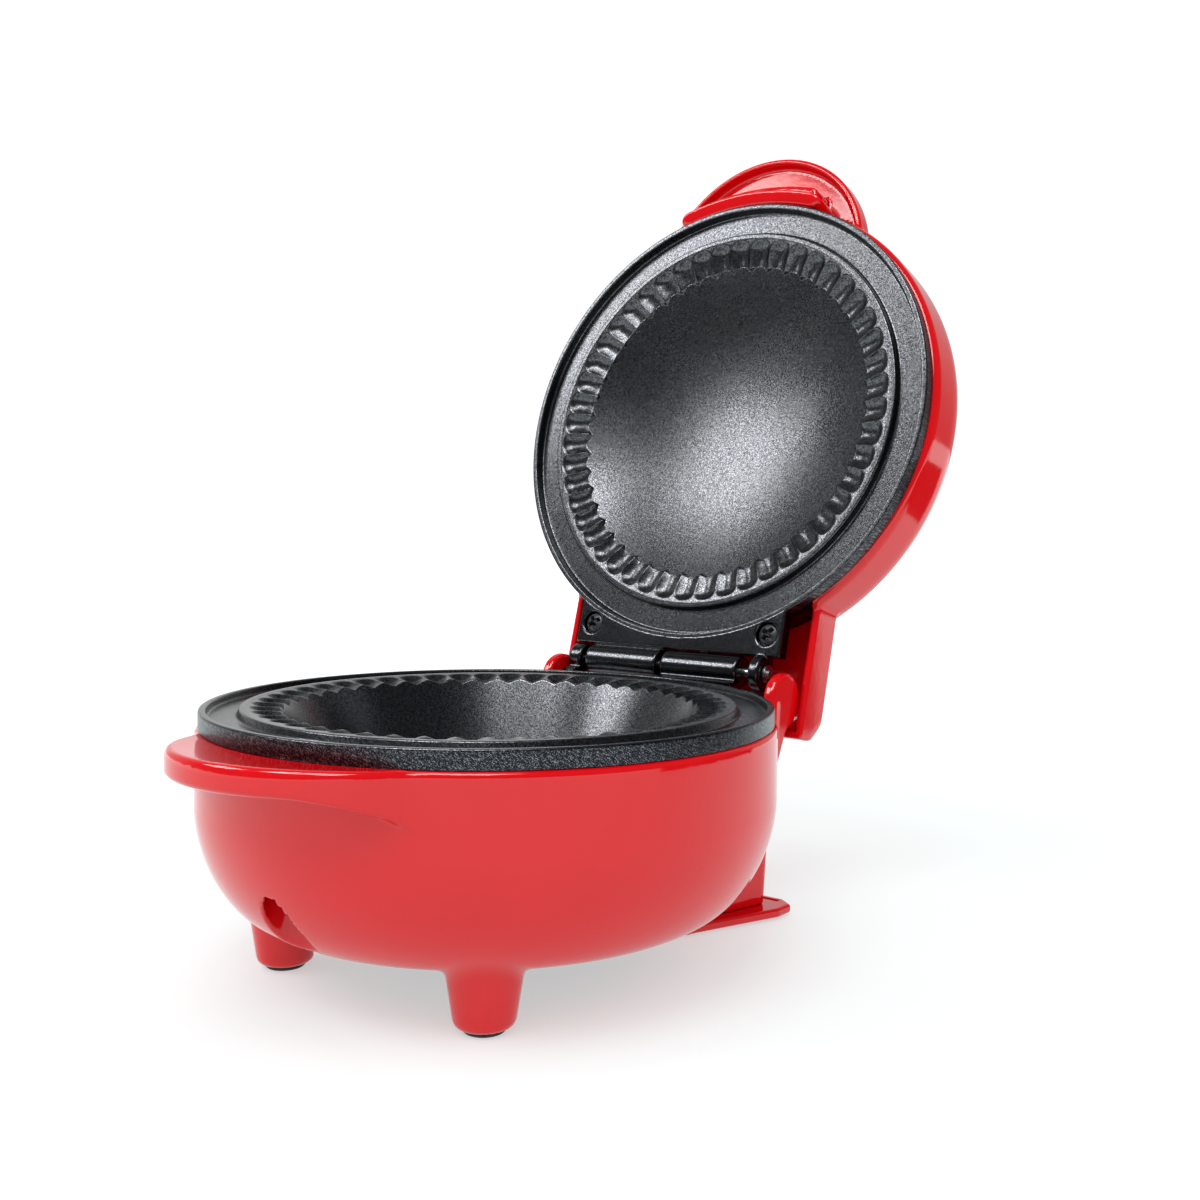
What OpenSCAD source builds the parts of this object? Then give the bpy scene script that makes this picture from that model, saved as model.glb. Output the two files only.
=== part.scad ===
// Single pie maker: a round bowl-shaped base and a domed lid, each with a
// fluted cast plate, on a barrel hinge at the back.
// Frame: +Z up, the floor is z = 0, the bowl's axis is x = y = 0,
// the handles face -Y and the hinge is on +Y. Millimetres.
// The lid parts are drawn closed and then swung open about the hinge pin.

/* [Plates] */
// Outer radius of both cooking plates
plate_r = 75; // [74:0.1:75.2]
// Height of the lower plate's rim above the floor
rim_z = 67.7; // [67.5:0.1:67.8]
// Height of the visible rim band of each plate
band = 4.7; // [4.4:0.1:4.8]
// Outer radius of the raised lip round the crust flutes
lip_r = 64.5; // [64:0.1:65]
// Number of crust flutes
flutes = 48; // [36:1:60]
// Depth of the pie cavity below the rim
cavity_depth = 29; // [24:1:30]

/* [Hinge] */
// Hinge axis behind the bowl axis
hinge_y = 83.7; // [83.5:0.1:84]
// Height of the hinge axis above the floor
hinge_z = 70; // [70:0.1:70.2]
// Angle at which the lid rests open
open_angle = 105.4; // [100:0.1:106]
// Radius of the hinge pin
pin_r = 1.5; // [1.2:0.1:1.8]
// Radial running clearance round the pin
pin_gap = 0.05; // [0.02:0.01:0.09]
// Radius of the hinge barrels
barrel_r = 4.8; // [4.2:0.1:4.9]

/* [Base] */
// Outer radius of the bowl
bowl_r = 75.4; // [75.3:0.1:76]
// Height of the bowl's flat underside
bowl_floor = 15.2; // [14.8:0.1:15.6]
// Wall thickness of the base moulding
wall = 2.2; // [2:0.1:2.4]
// Radius on which the two front feet stand
foot_pcd_r = 53.2; // [52:0.1:54]
// Angle of each front foot from the front
foot_angle = 41; // [39:0.5:43]

/* [Lid] */
// Outer radius of the lid
lid_r = 76.5; // [76.3:0.1:77]
// Height of the lid's crown when closed
lid_top = 104; // [102:0.5:106]
// Half width of the lid's rear hinge cover
cover_hw = 46.8; // [46.6:0.1:47.2]

/* [Hidden] */
$fn = 96;

base_top = rim_z - band;          // top edge of the bowl, under the plate
gap = 0.5;                        // gap between the closed plates
up0 = rim_z + gap;                // face of the upper plate's rim, closed
up1 = up0 + band;                 // back of the upper plate's rim, closed
foot_x = foot_pcd_r * sin(foot_angle);
foot_y = -foot_pcd_r * cos(foot_angle);
ear_x = 33.5;                     // plate screws, left and right
ear_y = 71.6;
stand_x = 35.4;                   // stand screws
stand_y = 64;
ext_y = 78.6;                     // back edge of both plates' hinge extension
handle_c = 51.3;                  // centre of the base handle's arc, to the front
handle_r = 39.4;
lid_handle_c = 58.2;
lid_handle_r = 40.1;
red = [0.78, 0.05, 0.07];
cast = [0.17, 0.17, 0.19];
steel = [0.75, 0.76, 0.78];

// knuckle stretches along x: lower plate, upper plate
lower_knuckles = [[-38.8, -33.9], [-1.8, 26.2]];
upper_knuckles = [[-32.0, -3.9], [30.9, 34.4]];

// superellipse quarter from (r1, z1) to (r0, z0), exponent n, k steps
function quarter(r1, z1, r0, z0, n, k) =
  [for (i = [0:k]) let (t = 90 * i / k)
    [r0 + (r1 - r0) * pow(cos(t), 2 / n), z1 + (z0 - z1) * pow(sin(t), 2 / n)]];
function back(v) = [for (i = [len(v) - 1:-1:0]) v[i]];

module swing() {
  translate([0, hinge_y, hinge_z]) rotate([-open_angle, 0, 0])
    translate([0, -hinge_y, -hinge_z]) children();
}
module along_x(x0, x1, r, y = hinge_y, z = hinge_z) {
  translate([x0, y, z]) rotate([0, 90, 0]) cylinder(h = x1 - x0, r = r);
}
// a Phillips screw, head up, top of the head at z = 0
module screw(head_r, head_h, shaft_r, len) {
  difference() {
    union() {
      translate([0, 0, -head_h]) cylinder(h = head_h, r = head_r);
      translate([0, 0, -len]) cylinder(h = len - head_h / 2, r = shaft_r);
    }
    for (a = [45, 135]) rotate([0, 0, a])
      translate([-head_r * 0.62, -head_r * 0.17, -head_h * 0.65])
        cube([head_r * 1.24, head_r * 0.34, head_h]);
  }
}
module mirror_x() { children(); mirror([1, 0, 0]) children(); }
// an insulated wire through hand-set points
module wire(pts, r) {
  for (i = [0:len(pts) - 2]) let (a = pts[i], b = pts[i + 1], d = b - a, l = norm(d)) {
    translate(a) rotate([0, acos(d[2] / l), atan2(d[1], d[0])]) cylinder(h = l, r = r, $fn = 24);
    if (i > 0) translate(a) sphere(r = r * 1.18, $fn = 24);
  }
}

// ---------- base ----------
bowl_out = concat([[0, bowl_floor], [57, bowl_floor]],
  back(quarter(bowl_r, 44, 57, bowl_floor, 1.8, 14)),
  [[bowl_r, base_top - 1.2], [bowl_r - 0.4, base_top - 0.3], [bowl_r - 1.2, base_top], [0, base_top]]);
bowl_in = concat([[0, bowl_floor + 2.4], [55.5, bowl_floor + 2.4]],
  back(quarter(bowl_r - wall, 44.5, 55.5, bowl_floor + 2.4, 1.8, 14)),
  [[bowl_r - wall, base_top + 5], [0, base_top + 5]]);

module column_plan(inset) {
  polygon([[-35.4 + inset, 42 + inset], [35.4 - inset, 42 + inset],
    [43.4 - inset, 74.6 - inset], [-43.4 + inset, 74.6 - inset]]);
}
// hinge ear, a lobe in the y-z plane
module ear() {
  translate([40.6, 0, 0]) rotate([90, 0, 90]) linear_extrude(height = 3.6) union() {
    translate([79.3, 63.2]) circle(r = 8.2);
    polygon([[71.1, 44], [74.6, 44], [79.6, 53.6], [85.6, 58], [87.5, 63.2], [79.3, 71.4], [74, 69.5], [71.1, 63.2]]);
  }
}
module foot() {
  translate([foot_x, foot_y, 0]) rotate_extrude() polygon([[0, 1.0], [5.9, 1.0], [6.8, 1.5], [7.3, 2.8], [10.1, 20], [0, 20]]);
}
module base_shell() {
  color(red) difference() {
    union() {
      rotate_extrude() polygon(bowl_out);
      // front handle
      difference() {
        translate([0, -handle_c, base_top - 5.2]) cylinder(h = 6.4, r = handle_r);
        cylinder(h = 70, r = plate_r + 0.5);
      }
      // rear column down to the stand
      translate([0, 0, 3.4]) linear_extrude(height = base_top - 3.6) column_plan(0);
      mirror_x() ear();
      mirror_x() foot();
    }
    difference() {
      rotate_extrude() polygon(bowl_in);
      // blind wall of the front scallop
      translate([0, -66.3, 0]) cylinder(h = 36.4, r = 8);
      // four cover bosses
      for (a = [45:90:315]) rotate([0, 0, a]) translate([41, 0, 0]) cylinder(h = 23.2, r = 3.4);
      // three reflector posts
      for (a = [30, 150, 270]) rotate([0, 0, a]) translate([51.2, 0, 0]) cylinder(h = 32, r = 3.2);
      // plate screw bosses
      mirror_x() translate([ear_x, ear_y, 46]) cylinder(h = 30, r = 3.6);
      // crossing rib under the plate at the back
      difference() {
        translate([-45, 64, 60.5]) cube([90, 20, 10]);
        translate([0, 0, 50]) cylinder(h = 30, r = bowl_r - wall + 0.01);
      }
    }
    difference() {
      translate([0, 0, 3]) linear_extrude(height = base_top - 5.2) column_plan(2.4);
      translate([0, 0, bowl_floor]) cylinder(h = 2.4, r = 52);
      for (a = [45, 135]) rotate([0, 0, a]) translate([41, 0, 0]) cylinder(h = 23.2, r = 3.4);
      for (a = [30, 150]) rotate([0, 0, a]) translate([51.2, 0, bowl_floor]) cylinder(h = 32 - bowl_floor, r = 3.2);
      mirror_x() translate([ear_x, ear_y, 46]) cylinder(h = 30, r = 3.6);
      // stand screw bosses
      mirror_x() translate([stand_x, stand_y, 0]) cylinder(h = 16, r = 4);
    }
    // front scallop
    translate([0, -66.3, -1]) cylinder(h = 35.4, r = 6);
    // service opening and its recess
    translate([0, 0, bowl_floor - 1]) cylinder(h = 1 + 1.8, r = 46.2);
    translate([0, 0, bowl_floor]) cylinder(h = 3, r = 36.5);
    for (a = [45:90:315]) rotate([0, 0, a]) translate([41, 0, bowl_floor]) cylinder(h = 7.5, r = 1.45);
    // plate screw and stand screw holes
    mirror_x() translate([ear_x, ear_y, 50]) cylinder(h = 20, r = 1.75);
    mirror_x() translate([stand_x, stand_y, 0]) cylinder(h = 12, r = 1.45);
    // foot pad seats
    mirror_x() translate([foot_x, foot_y, 0]) cylinder(h = 2.6, r = 5.3);
    // cord entry in the back of the column
    translate([0, 60, 24]) rotate([-90, 0, 0]) cylinder(h = 20, r = 5);
    // wire gap behind the hinge
    translate([-8, 66, 56]) cube([16, 6.2, 10]);
  }
}
module bottom_cover() {
  color([0.12, 0.12, 0.13]) difference() {
    translate([0, 0, bowl_floor]) cylinder(h = 1.8, r = 46);
    for (a = [45:90:315]) rotate([0, 0, a]) translate([41, 0, 0]) cylinder(h = 40, r = 1.7);
    // vent slots
    for (i = [-3:3]) translate([-14, i * 6 - 1.25, 10]) cube([28, 2.5, 20]);
  }
}
module bottom_cover_screws() {
  color(steel) for (a = [45:90:315]) rotate([0, 0, a]) translate([41, 0, bowl_floor - 1.8])
    mirror([0, 0, 1]) screw(2.8, 1.8, 1.4, 8.8);
}
module stand_plan() {
  polygon([[-33.5, 38], [33.5, 38], [46.6, 72], [47.6, 76.2], [46.4, 79.6], [42.8, 81.6],
    [38, 82], [-38, 82], [-42.8, 81.6], [-46.4, 79.6], [-47.6, 76.2], [-46.6, 72]]);
}
module rear_stand() {
  color(red) difference() {
    translate([0, 0, 0.8]) linear_extrude(height = 2.6) stand_plan();
    translate([-42.3, 78.7, 2.2]) cube([84.6, 1.1, 3]);
    mirror_x() translate([stand_x, stand_y, 0]) cylinder(h = 10, r = 1.7);
    mirror_x() translate([stand_x, stand_y, 0]) cylinder(h = 2.6, r = 3.2);
    mirror_x() translate([30, 46, 0]) cylinder(h = 2, r = 3.8);
    mirror_x() translate([40, 75, 0]) cylinder(h = 2, r = 3.8);
  }
}
module rear_stand_screws() {
  color(steel) mirror_x() translate([stand_x, stand_y, 1.2]) mirror([0, 0, 1]) screw(2.8, 1.4, 1.4, 10);
}
module front_foot_pads() {
  color([0.05, 0.05, 0.05]) mirror_x() translate([foot_x, foot_y, 0])
    rotate_extrude() polygon([[0, 0], [4.7, 0], [5.2, 0.5], [5.2, 2.6], [0, 2.6]]);
}
module rear_foot_pads() {
  color([0.05, 0.05, 0.05]) mirror_x() {
    translate([30, 46, 0]) cylinder(h = 2, r = 3.7);
    translate([40, 75, 0]) cylinder(h = 2, r = 3.7);
  }
}
module cord_gland() {
  color([0.07, 0.07, 0.07]) translate([0, 71.2, 24]) rotate([-90, 0, 0]) difference() {
    union() {
      cylinder(h = 5, r = 4.95);
      translate([0, 0, 3.4]) cylinder(h = 2, r = 7);
      cylinder(h = 1, r = 6.4);
    }
    translate([0, 0, -1]) cylinder(h = 10, r = 3.3);
  }
}

// ---------- cooking plates ----------
// closed section of the lower plate, top side then underside
function lower_section() = concat(
  [[0, rim_z - cavity_depth], [36, rim_z - cavity_depth]],
  [for (i = [1:8]) let (t = 90 * i / 8) [36 + 8 * sin(t), rim_z - cavity_depth + 8 * (1 - cos(t))]],
  [[53, rim_z - 5.6], [62.6, rim_z - 0.1], [63.4, rim_z], [lip_r, rim_z - 0.4], [lip_r + 0.7, rim_z - 1.9],
   [72.6, rim_z - 1.9], [73, rim_z], [plate_r - 0.3, rim_z], [plate_r, rim_z - 0.3], [plate_r, base_top],
   [bowl_r - wall - 0.4, base_top], [bowl_r - wall - 0.4, base_top - 2], [lip_r + 2, base_top - 2],
   [lip_r + 1, base_top + 0.4], [56, rim_z - 8.4]],
  [for (i = [8:-1:0]) let (t = 90 * i / 8) [36 + 11 * sin(t), rim_z - cavity_depth + 8 - 11 * cos(t)]],
  [[0, rim_z - cavity_depth - 3]]);
module flute_cuts(z, s) {
  for (i = [0:flutes - 1]) rotate([0, 0, 360 * (i + 0.5) / flutes]) translate([58.4, 0, z])
    rotate([0, 90 + s, 0]) translate([0, 0, -8]) cylinder(h = 16, r = 3.4, $fn = 24);
}
module extension(z0, z1) {
  translate([-39, 58, z0]) cube([78, ext_y - 58, z1 - z0]);
}
module lower_plate() {
  color(cast) difference() {
    union() {
      difference() {
        union() {
          rotate_extrude() polygon(lower_section());
          difference() {
            extension(base_top, rim_z);
            cylinder(h = 100, r = plate_r - 0.5);
          }
        }
        flute_cuts(rim_z - 0.6, -30);
      }
      for (k = lower_knuckles) {
        along_x(k[0], k[1], barrel_r);
        translate([k[0], ext_y - 1, base_top + 1]) cube([k[1] - k[0], hinge_y - ext_y + 1, band - 1]);
      }
    }
    along_x(-50, 50, pin_r + pin_gap);
    // room for the upper plate's barrels
    for (k = upper_knuckles) along_x(k[0] - 0.8, k[1] + 0.8, 5.8);
    mirror_x() translate([ear_x, ear_y, rim_z - 2.2]) cylinder(h = 5, r = 3.7);
    mirror_x() translate([ear_x, ear_y, 50]) cylinder(h = 30, r = 1.8);
  }
}
module lower_plate_screws() {
  color([0.1, 0.1, 0.1]) mirror_x() translate([ear_x, ear_y, rim_z - 0.3]) screw(3.45, 1.9, 1.65, 14);
}
// tubular element: a ring with a gap at the back and two bent terminals
module element(z, r, s) {
  difference() {
    translate([0, 0, z]) rotate_extrude() translate([r, 0]) circle(r = 2.9);
    translate([-9, 0, z - 5]) cube([18, 100, 10]);
  }
  mirror_x() translate([10.6, sqrt(r * r - 81), z]) mirror([0, 0, s < 0 ? 1 : 0]) {
    translate([0, 0, -2.2]) cylinder(h = 10.2, r = 2.5);
    cylinder(h = 13, r = 1.2);
  }
}
module lower_element() { color([0.45, 0.43, 0.42]) element(57.9, 62.4, -1); }
// a folded strap that holds the element ring up against its plate
module clip(r, z, t) {
  translate([r - 5, -3, z]) cube([10, 6, t]);
}
module lower_element_clips() {
  color(steel) for (a = [-30, -90, -150]) rotate([0, 0, a]) {
    clip(62.6, 53.6, 1);
    translate([66.6, -3, 53.6]) cube([1, 6, base_top - 2 - 53.6]);
  }
}
module lower_reflector() {
  color([0.8, 0.8, 0.8]) difference() {
    rotate_extrude() polygon([[0, 32], [55.5, 32], [58, 38], [70.6, 47], [70.6, 48], [57.4, 38.6], [55, 32.8], [0, 32.8]]);
    translate([-15, 44, 20]) cube([30, 40, 40]);
  }
}
module thermostat() {
  color([0.85, 0.82, 0.75]) translate([16, 14, 0]) union() {
    translate([0, 0, 22]) cylinder(h = 9.9, r = 8);
    translate([-13, -2.5, 31]) cube([26, 5, 0.9]);
    translate([-5, -1, 19]) cube([1.2, 3, 4]);
    translate([4, -1, 19]) cube([1.2, 3, 4]);
  }
}
module thermal_fuse() {
  color([0.9, 0.9, 0.88]) translate([-26, -12, 29.3]) rotate([0, 90, 0]) union() {
    cylinder(h = 14, r = 2.2);
    translate([0, 0, -6]) cylinder(h = 26, r = 0.5);
  }
}
module terminal_block() {
  color([0.95, 0.95, 0.92]) difference() {
    translate([-15, 8, bowl_floor + 2.4]) cube([20, 13, 9]);
    for (i = [0:2]) translate([-12 + i * 7, 14.5, 20]) cylinder(h = 20, r = 1.9);
  }
}
module base_wiring() {
  color([0.9, 0.9, 0.85]) {
    wire([[-12, 21.5, 21], [-10, 40, 22], [-4, 60, 24], [0, 70, 24]], 1.1);
    wire([[-1, 21.5, 21], [4, 40, 26], [9.5, 54, 36], [10.6, 61.7, 43.4]], 1.1);
    wire([[-10.6, 61.7, 43.4], [-14, 50, 30], [-16, 34, 23], [-14, 22, 24]], 1.1);
  }
}
module hinge_pin() {
  color(steel) union() {
    along_x(-38.6, 36.2, pin_r);
    along_x(-40, -38.85, 2.6);
    along_x(-39, -38.5, pin_r);
  }
}
module pin_clip() {
  color([0.3, 0.3, 0.32]) difference() {
    along_x(34.8, 35.5, 2.9);
    along_x(34, 36, pin_r + 0.02);
    translate([34, hinge_y - 1, hinge_z - 5]) cube([3, 2, 4]);
  }
}

// ---------- lid, drawn closed ----------
lid_out = concat([[0, up1]], [[lid_r - 1.2, up1], [lid_r - 0.4, up1 + 0.3], [lid_r, up1 + 1.2]],
  quarter(lid_r, 84, 0, lid_top, 3.2, 18));
lid_in = concat([[0, up1 - 1], [lid_r - wall - 0.4, up1 - 1]],
  quarter(lid_r - wall - 0.4, 83, 0, lid_top - wall, 3.2, 18));

module cover_profile(d) {
  // rear hinge cover in the y-z plane, top rear edge rounded
  union() {
    translate([40, up1 + 1.4 - (d > 0 ? 3 : 0)]) square([56.5 - d, 12.6 - d + (d > 0 ? 3 : 0)]);
    translate([40, up1 + 1.4 - (d > 0 ? 3 : 0)]) square([61.5 - d, 7.6 + (d > 0 ? 3 : 0)]);
    translate([96.5 - d, up1 + 9 - (d > 0 ? 0 : 0)]) circle(r = 5 - (d > 0 ? 0.01 : 0));
  }
}
module lid_shell() {
  color(red) swing() difference() {
    union() {
      rotate_extrude() polygon(lid_out);
      // rear hinge cover
      translate([-cover_hw, 0, 0]) rotate([90, 0, 90]) linear_extrude(height = 2 * cover_hw) cover_profile(0);
      // handle
      difference() {
        translate([0, -lid_handle_c, 80]) cylinder(h = 7, r = lid_handle_r);
        translate([0, 0, 70]) cylinder(h = 14, r = lid_r - 1);
        difference() {
          translate([0, -lid_handle_c, 79]) cylinder(h = 4.4, r = lid_handle_r - 1.9);
          translate([0, 0, 70]) cylinder(h = 30, r = lid_r + 0.1);
        }
      }
      // front skirt in front of the plate
      intersection() {
        difference() {
          translate([0, 0, 69]) cylinder(h = 11.5, r = 79.8);
          translate([0, 0, 60]) cylinder(h = 40, r = plate_r + 0.4);
        }
        translate([0, 0, 60]) linear_extrude(height = 40) polygon([[0, 0], [-36, -95], [36, -95]]);
      }
      // ledge behind the skirt
      intersection() {
        difference() {
          translate([0, 0, 74]) cylinder(h = 10, r = 84.4);
          translate([0, 0, 60]) cylinder(h = 40, r = plate_r + 0.4);
        }
        translate([-23.5, -90, 70]) cube([47, 40, 20]);
      }
    }
    rotate_extrude() polygon(lid_in);
    translate([-cover_hw + wall, 0, 0]) rotate([90, 0, 90]) linear_extrude(height = 2 * (cover_hw - wall))
      cover_profile(wall);
    // lamp windows
    mirror_x() translate([9, -40, 90]) cylinder(h = 30, r = 3.3);
  }
}
function upper_section() = concat(
  [[0, up0 + 15]],
  [for (i = [1:10]) let (r = 5.4 * i) [r, up0 + 15 - 9.4 * pow(r / 54, 2.2)]],
  [[62, up0 + 1.5], [62.6, up0 + 0.9], [lip_r, up0 + 0.9], [lip_r + 1, up0 + 3.1], [72.8, up0 + 3.1],
   [73.3, up0], [plate_r - 0.3, up0], [plate_r, up0 + 0.3], [plate_r, up1],
   [lid_r - wall - 0.8, up1], [lid_r - wall - 0.8, up1 + 1.6], [64, up1 + 1.6], [57, up0 + 9]],
  [for (i = [10:-1:1]) let (r = 5.4 * i) [r, up0 + 18 - 9.4 * pow(r / 54, 2.2)]],
  [[0, up0 + 18]]);
module upper_plate() {
  color(cast) swing() difference() {
    union() {
      difference() {
        rotate_extrude() polygon(upper_section());
        for (i = [0:flutes - 1]) rotate([0, 0, 360 * (i + 0.5) / flutes]) translate([57.6, 0, up0 + 2.4])
          rotate([0, 90 - 28, 0]) translate([0, 0, -6]) cylinder(h = 10.5, r = 1.6, $fn = 24);
      }
      difference() {
        extension(up0, up1);
        cylinder(h = 200, r = plate_r - 0.5);
      }
      for (k = upper_knuckles) {
        along_x(k[0], k[1], k[1] > 0 ? 5.2 : barrel_r);
        translate([k[0], ext_y - 1, hinge_z - 0.6]) cube([k[1] - k[0], hinge_y - ext_y + 1, up1 - hinge_z + 0.6]);
      }
    }
    along_x(-50, 50, pin_r + pin_gap);
    for (k = lower_knuckles) along_x(k[0] - 0.8, k[1] + 0.8, barrel_r + 0.7);
    mirror_x() translate([ear_x, ear_y, up0 - 1]) cylinder(h = 3.2, r = 3.7);
    mirror_x() translate([ear_x, ear_y, up0 - 1]) cylinder(h = 20, r = 1.8);
  }
}
module upper_plate_screws() {
  color([0.1, 0.1, 0.1]) swing() mirror_x() translate([ear_x, ear_y, up0 + 0.3]) mirror([0, 0, 1])
    screw(3.45, 1.9, 1.65, 10);
}
module upper_element() { color([0.45, 0.43, 0.42]) swing() element(up1 + 4.7, 66, 1); }
module upper_element_clips() {
  color(steel) swing() for (a = [-30, -90, -150]) rotate([0, 0, a]) {
    clip(65.7, up1 + 7.8, 1);
    translate([69.7, -3, up1 + 1.6]) cube([1, 6, 7.2]);
  }
}
module upper_reflector() {
  color([0.8, 0.8, 0.8]) swing() difference() {
    rotate_extrude() polygon([[0, up1 + 15.4], [52, up1 + 15.4], [60, up1 + 12], [71, up1 + 10.6], [71, up1 + 11.4],
      [60, up1 + 12.8], [52, up1 + 16.2], [0, up1 + 16.2]]);
    translate([-14, 55, 60]) cube([28, 40, 60]);
  }
}
module lamp_holder() {
  color([0.9, 0.9, 0.88]) swing() difference() {
    translate([-15, -45, up1 + 16.2]) cube([30, 10, 5.8]);
    mirror_x() translate([9, -40, 80]) cylinder(h = 40, r = 3);
  }
}
module neon_lamps() {
  color([0.95, 0.6, 0.3]) swing() mirror_x() translate([9, -40, up1 + 18.4]) union() {
    cylinder(h = 5, r = 2.4);
    translate([0, 0, 5]) sphere(r = 2.4);
  }
}
module lens() {
  translate([0, 0, lid_top - 2.6]) rotate_extrude()
    polygon([[0, 0], [3.2, 0], [3.2, 2.4], [2.9, 2.9], [2, 3.3], [1, 3.5], [0, 3.55]]);
}
module power_lens() { color([0.85, 0.1, 0.05]) swing() translate([-9, -40, 0]) lens(); }
module ready_lens() { color([0.1, 0.7, 0.2]) swing() translate([9, -40, 0]) lens(); }
module lid_wiring() {
  color([0.9, 0.9, 0.85]) swing() {
    wire([[10.6, 65.4, up1 + 19.5], [10.8, 69.4, up1 + 17.8], [9, 70.6, up1 + 9.5], [5, 78, up1 + 7.5], [3, 86, up1 + 6.5]], 1.1);
    wire([[-10.6, 65.4, up1 + 19.5], [-10.8, 69.4, up1 + 17.8], [-9, 70.6, up1 + 9.5], [-5, 78, up1 + 7.5], [-3, 86, up1 + 6.5]], 1.1);
  }
}

base_shell();
bottom_cover();
bottom_cover_screws();
rear_stand();
rear_stand_screws();
front_foot_pads();
rear_foot_pads();
cord_gland();
lower_plate();
lower_plate_screws();
lower_element();
lower_element_clips();
lower_reflector();
thermostat();
thermal_fuse();
terminal_block();
base_wiring();
hinge_pin();
pin_clip();
lid_shell();
upper_plate();
upper_plate_screws();
upper_element();
upper_element_clips();
upper_reflector();
lamp_holder();
neon_lamps();
power_lens();
ready_lens();
lid_wiring();
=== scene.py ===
import math
import itertools
import bpy
import numpy as np
from mathutils import Matrix, Vector


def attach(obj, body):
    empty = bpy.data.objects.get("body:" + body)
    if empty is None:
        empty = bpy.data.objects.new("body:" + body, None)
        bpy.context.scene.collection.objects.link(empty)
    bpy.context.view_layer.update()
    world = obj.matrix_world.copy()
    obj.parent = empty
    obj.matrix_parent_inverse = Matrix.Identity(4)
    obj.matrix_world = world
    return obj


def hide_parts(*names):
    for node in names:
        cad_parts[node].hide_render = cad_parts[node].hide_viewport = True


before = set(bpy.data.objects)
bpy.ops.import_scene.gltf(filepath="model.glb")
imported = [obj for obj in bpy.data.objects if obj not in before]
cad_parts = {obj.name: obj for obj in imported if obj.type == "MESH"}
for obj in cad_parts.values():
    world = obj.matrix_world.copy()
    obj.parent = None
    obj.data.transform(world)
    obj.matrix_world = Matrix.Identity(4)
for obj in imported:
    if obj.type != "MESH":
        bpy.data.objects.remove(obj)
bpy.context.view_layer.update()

# ------------------------------------------------------------------ sizes, mm
RIM = 67.7           # lower plate's rim plane
BASE_TOP = 63.0      # top edge of the bowl
UP0 = 68.2           # upper plate's rim plane, lid closed
UP1 = 72.9           # back of the upper plate's rim, lid closed
HY, HZ = 83.7, 70.0  # hinge axis
OPEN = math.radians(-105.4)
NF = 48              # crust flutes


def swing(P):
    """Points drawn with the lid closed, turned to the resting open lid."""
    c, s = math.cos(OPEN), math.sin(OPEN)
    y, z = P[:, 1] - HY, P[:, 2] - HZ
    return np.stack([P[:, 0], HY + c * y - s * z, HZ + s * y + c * z], 1)


def turn(N):
    c, s = math.cos(OPEN), math.sin(OPEN)
    return np.stack([N[:, 0], c * N[:, 1] - s * N[:, 2], s * N[:, 1] + c * N[:, 2]], 1)


# ------------------------------------------------------------------ materials
def new_material(name):
    m = bpy.data.materials.new(name)
    m.use_nodes = True
    nt = m.node_tree
    return m, nt, nt.nodes["Principled BSDF"]


def add(nt, kind, **props):
    n = nt.nodes.new(kind)
    for k, v in props.items():
        if k.startswith("i_"):
            n.inputs[k[2:].replace("_", " ")].default_value = v
        else:
            setattr(n, k, v)
    return n


def ramp(nt, fac, stops):
    r = add(nt, "ShaderNodeValToRGB")
    e = r.color_ramp.elements
    while len(e) < len(stops):
        e.new(0.5)
    for el, (p, c) in zip(e, stops):
        el.position = p
        el.color = c if len(c) == 4 else (*c, 1)
    nt.links.new(fac, r.inputs[0])
    return r.outputs[0]


def noise(nt, coord, scale, detail=2.0, rough=0.5):
    n = add(nt, "ShaderNodeTexNoise")
    n.inputs["Scale"].default_value = scale
    n.inputs["Detail"].default_value = detail
    n.inputs["Roughness"].default_value = rough
    nt.links.new(coord, n.inputs["Vector"])
    return n.outputs["Fac"]


def bump(nt, bsdf, height, strength, distance, normal=None):
    b = add(nt, "ShaderNodeBump")
    b.inputs["Strength"].default_value = strength
    b.inputs["Distance"].default_value = distance
    nt.links.new(height, b.inputs["Height"])
    if normal is not None:
        nt.links.new(normal, b.inputs["Normal"])
    nt.links.new(b.outputs[0], bsdf.inputs["Normal"])
    return b.outputs[0]


def gray(v):
    return (v, v, v, 1)


def red_material():
    """Glossy red enamel-like plastic: faint orange peel, dust specks and rubbed patches."""
    m, nt, b = new_material("red_gloss")
    co = add(nt, "ShaderNodeTexCoord").outputs["Object"]
    big = noise(nt, co, 28, 3)
    col = ramp(nt, big, [(0.3, (0.57, 0.0008, 0.0034)), (0.7, (0.61, 0.0012, 0.0046))])
    nt.links.new(col, b.inputs["Base Color"])
    worn = noise(nt, co, 55, 5, 0.6)
    rough = ramp(nt, worn, [(0.35, gray(0.075)), (0.6, gray(0.095)), (0.78, gray(0.15))])
    nt.links.new(rough, b.inputs["Roughness"])
    specks = ramp(nt, noise(nt, co, 1100, 1), [(0.74, gray(0.0)), (0.80, gray(1.0))])
    n1 = bump(nt, b, specks, 0.12, 0.00006)
    peel = noise(nt, co, 420, 2)
    n2 = bump(nt, b, peel, 0.05, 0.0002, n1)
    wave = noise(nt, co, 70, 1)
    bump(nt, b, wave, 0.03, 0.001, n2)
    b.inputs["IOR"].default_value = 1.54
    return m


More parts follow.
